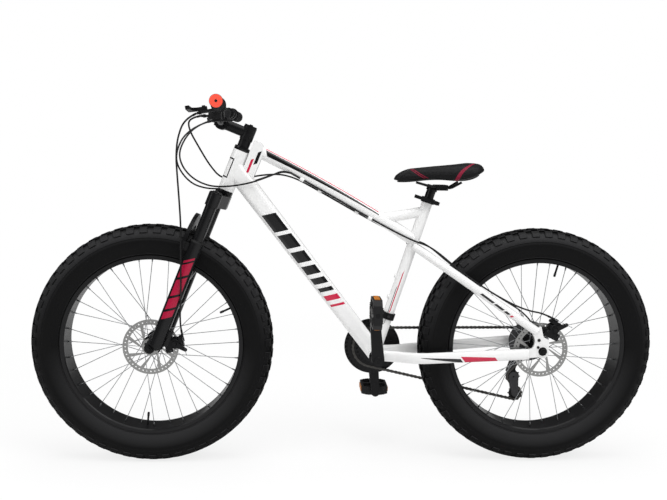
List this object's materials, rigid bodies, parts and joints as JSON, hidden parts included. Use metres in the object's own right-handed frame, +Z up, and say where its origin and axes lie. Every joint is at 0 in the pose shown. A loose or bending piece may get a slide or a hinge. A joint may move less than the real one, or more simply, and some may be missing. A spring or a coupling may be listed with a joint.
{
  "type": "fat tire bike",
  "caption": "Fat tire mountain bike with suspension fork, disc brakes, derailleur gears, riser handlebar and padded saddle",
  "frame": {"origin": "on the ground under the middle of the bike, midway between the two tyre contacts, on the wheels' centre plane", "axes": "+X forward, +Y to the rider's left, +Z up"},
  "size_m": [1.83, 0.6722, 1.0477],
  "materials": {
    "frame_white": "gloss white enamel on alloy tubes, with black and crimson stripes",
    "black_alloy": "black coated alloy",
    "black_steel": "gloss black",
    "bright_steel": "bright zinc and brushed steel",
    "tyre_rubber": "matt knobbly rubber",
    "soft_rubber": "matt ribbed rubber",
    "black_plastic": "moulded, satin",
    "orange_plastic": "moulded, satin",
    "saddle_cover": "sewn synthetic cover over foam with crimson bands"
  },
  "bodies": {
    "frame": {"head_tube": "frame_white", "top_tube": "frame_white", "down_tube": "frame_white", "seat_tube": "frame_white", "frame_braces": "frame_white", "bottom_bracket_shell": "frame_white", "chainstays": "frame_white", "seatstays": "frame_white", "dropouts": "frame_white", "bearing_cups": "black_steel", "seat_clamp": "black_alloy", "rear_axle": "bright_steel", "rear_brake_caliper": "black_alloy", "derailleur_mounts": "black_steel", "chain": "black_steel", "frame_cables": "black_plastic", "frame_fittings": "frame_white"},
    "steering": {"fork_uppers": "black_alloy", "stem": "black_alloy", "handlebar": "black_alloy", "grips": "soft_rubber", "grip_plugs": "orange_plastic", "bar_controls": "black_alloy", "front_brake_cable": "black_plastic"},
    "lowers": {"fork_lowers": "black_alloy", "front_axle": "bright_steel", "front_brake_caliper": "black_alloy"},
    "front_wheel": {"front_tyre": "tyre_rubber", "front_rim": "black_alloy", "front_inner_tube": "soft_rubber", "front_spokes": "bright_steel", "front_hub": "black_alloy", "front_rotor": "bright_steel"},
    "rear_wheel": {"rear_tyre": "tyre_rubber", "rear_rim": "black_alloy", "rear_inner_tube": "soft_rubber", "rear_spokes": "bright_steel", "rear_hub": "black_alloy", "rear_rotor": "bright_steel"},
    "freewheel": {"freewheel_cogs": "bright_steel"},
    "crank": {"crank_arms": "black_alloy", "chainrings": "black_steel"},
    "pedal_left_body": {"pedal_left": "black_plastic"},
    "pedal_right_body": {"pedal_right": "black_plastic"},
    "seat": {"seatpost": "black_steel", "saddle_pad": "saddle_cover", "saddle_base": "black_plastic", "saddle_mount": "black_steel"},
    "seat_lever": {"seat_clamp_lever": "black_alloy"},
    "brake_lever_left_body": {"brake_lever_left": "black_alloy"},
    "brake_lever_right_body": {"brake_lever_right": "black_alloy"},
    "shifter_left_body": {"shifter_lever_left": "black_plastic"},
    "shifter_right_body": {"shifter_lever_right": "black_plastic"},
    "front_brake_arm": {"front_caliper_arm": "black_alloy"},
    "rear_brake_arm": {"rear_caliper_arm": "black_alloy"},
    "rear_link": {"derailleur_link": "black_steel"},
    "rear_cage": {"derailleur_cage": "black_steel"},
    "guide_wheel": {"guide_pulley": "black_plastic"},
    "tension_wheel": {"tension_pulley": "black_plastic"},
    "front_cage": {"front_derailleur_cage": "black_steel"}
  },
  "joints": [
    {"name": "steering_turn", "type": "hinge", "parent": "frame", "child": "steering", "pos_m": [0.33185, 0, 0.86004], "axis": [-0.3665, 0, 0.9304], "range_deg": [-60, 60], "deforming": ["frame_cables"]},
    {"name": "fork_travel", "type": "slide", "parent": "steering", "child": "lowers", "axis": [-0.3665, 0, 0.9304], "range_m": [0, 0.06], "stiffness_N_per_m": 8000, "springref_m": -0.02, "deforming": ["front_brake_cable"]},
    {"name": "front_wheel_spin", "type": "hinge", "parent": "lowers", "child": "front_wheel", "pos_m": [0.565, 0, 0.35], "axis": [0, 1, 0], "continuous": true},
    {"name": "rear_wheel_spin", "type": "hinge", "parent": "frame", "child": "rear_wheel", "pos_m": [-0.565, 0, 0.35], "axis": [0, 1, 0], "continuous": true},
    {"name": "crank_spin", "type": "hinge", "parent": "frame", "child": "crank", "pos_m": [-0.087, 0, 0.322], "axis": [0, 1, 0], "continuous": true, "deforming": ["chain"]},
    {"name": "freewheel_spin", "type": "hinge", "parent": "frame", "child": "freewheel", "pos_m": [-0.565, 0, 0.35], "axis": [0, 1, 0], "continuous": true},
    {"name": "pedal_left_spin", "type": "hinge", "parent": "crank", "child": "pedal_left_body", "pos_m": [-0.07243, 0.156, 0.4733], "axis": [0, 1, 0], "continuous": true},
    {"name": "pedal_right_spin", "type": "hinge", "parent": "crank", "child": "pedal_right_body", "pos_m": [-0.10157, -0.156, 0.1707], "axis": [0, 1, 0], "continuous": true},
    {"name": "seat_height", "type": "slide", "parent": "frame", "child": "seat", "axis": [-0.3057, 0, 0.9521], "range_m": [0, 0.12]},
    {"name": "seat_lever_open", "type": "hinge", "parent": "frame", "child": "seat_lever", "pos_m": [-0.25618, 0.026, 0.77076], "axis": [-0.3057, 0, 0.9521], "range_deg": [0, 150]},
    {"name": "brake_left_pull", "type": "hinge", "parent": "steering", "child": "brake_lever_left_body", "pos_m": [0.39555, 0.177, 1.01939], "axis": [0.2079, 0, 0.9781], "range_deg": [0, 20], "stiffness_Nm_per_rad": 3, "springref_deg": -5.73},
    {"name": "brake_right_pull", "type": "hinge", "parent": "steering", "child": "brake_lever_right_body", "pos_m": [0.39555, -0.177, 1.01939], "axis": [-0.2079, 0, -0.9781], "range_deg": [0, 20], "stiffness_Nm_per_rad": 3, "springref_deg": -5.73},
    {"name": "front_brake_pull", "type": "hinge", "parent": "lowers", "child": "front_brake_arm", "pos_m": [0.49236, 0.0785, 0.36412], "axis": [0, 1, 0], "range_deg": [0, 25]},
    {"name": "rear_brake_pull", "type": "hinge", "parent": "frame", "child": "rear_brake_arm", "pos_m": [-0.59859, 0.096, 0.41593], "axis": [0, 1, 0], "range_deg": [0, 25]},
    {"name": "shifter_left_click", "type": "hinge", "parent": "steering", "child": "shifter_left_body", "pos_m": [0.37282, 0.133, 0.9937], "axis": [0, 0, 1], "range_deg": [-15, 15]},
    {"name": "shifter_right_click", "type": "hinge", "parent": "steering", "child": "shifter_right_body", "pos_m": [0.37282, -0.133, 0.9937], "axis": [0, 0, 1], "range_deg": [-8, 20]},
    {"name": "rear_shift", "type": "hinge", "parent": "frame", "child": "rear_link", "pos_m": [-0.549, -0.103, 0.316], "axis": [1, 0, 0], "range_deg": [-6, 14.2], "deforming": ["chain"]},
    {"name": "cage_swing", "type": "hinge", "parent": "rear_link", "child": "rear_cage", "pos_m": [-0.529, -0.068, 0.231], "axis": [0, 1, 0], "range_deg": [-40, 20], "stiffness_Nm_per_rad": 0.8, "deforming": ["chain"]},
    {"name": "guide_pulley_spin", "type": "hinge", "parent": "rear_cage", "child": "guide_wheel", "pos_m": [-0.529, -0.068, 0.231], "axis": [0, 1, 0], "continuous": true},
    {"name": "tension_pulley_spin", "type": "hinge", "parent": "rear_cage", "child": "tension_wheel", "pos_m": [-0.535, -0.068, 0.178], "axis": [0, 1, 0], "continuous": true},
    {"name": "front_shift", "type": "slide", "parent": "frame", "child": "front_cage", "axis": [0, -1, 0], "range_m": [-0.0081, 0.0081]}
  ],
  "couplings": [
    {"joint": "freewheel_spin", "follows": "crank_spin", "ratio": 1.6667},
    {"joint": "guide_pulley_spin", "follows": "crank_spin", "ratio": -3},
    {"joint": "tension_pulley_spin", "follows": "crank_spin", "ratio": 3},
    {"joint": "front_brake_pull", "follows": "brake_left_pull", "ratio": 1.2},
    {"joint": "rear_brake_pull", "follows": "brake_right_pull", "ratio": 1.2},
    {"joint": "rear_shift", "follows": "shifter_right_click", "ratio": 0.7},
    {"joint": "front_shift", "follows": "shifter_left_click", "m_per_rad": 0.03}
  ]
}
